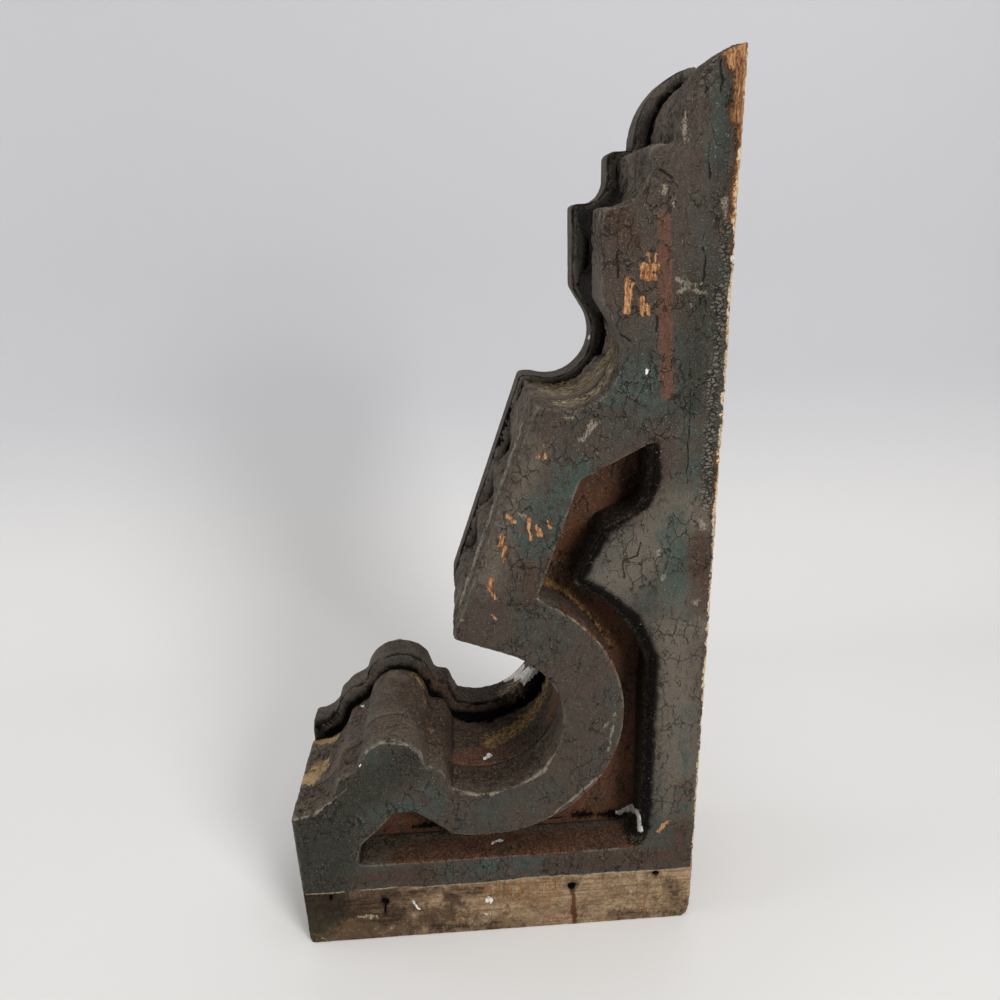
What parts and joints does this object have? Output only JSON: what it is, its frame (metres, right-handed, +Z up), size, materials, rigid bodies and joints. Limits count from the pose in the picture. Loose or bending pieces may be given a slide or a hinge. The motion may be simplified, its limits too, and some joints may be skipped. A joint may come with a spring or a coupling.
{
  "type": "eave bracket",
  "caption": "Weathered painted wooden eave bracket of three glued boards, with a fretted C-scroll, a sunk panel and a moulded front edge.",
  "frame": {"origin": "centre of the flat underside, the end that is fixed under the eave", "axes": "+Z up the upright wall side to the crown, +X from the moulded front to the flat wall side, +Y from the face with the sunk panel to the plain face"},
  "size_m": [0.345, 0.1376, 0.7055],
  "materials": {
    "green_paint": "crackled grey-green paint over wood",
    "brown_paint": "worn red-brown paint over wood",
    "grimed_paint": "grimed grey-green paint over wood"
  },
  "bodies": {
    "root": {"scroll_board": "green_paint", "core_board": "brown_paint", "rim_board": "grimed_paint"}
  },
  "joints": []
}
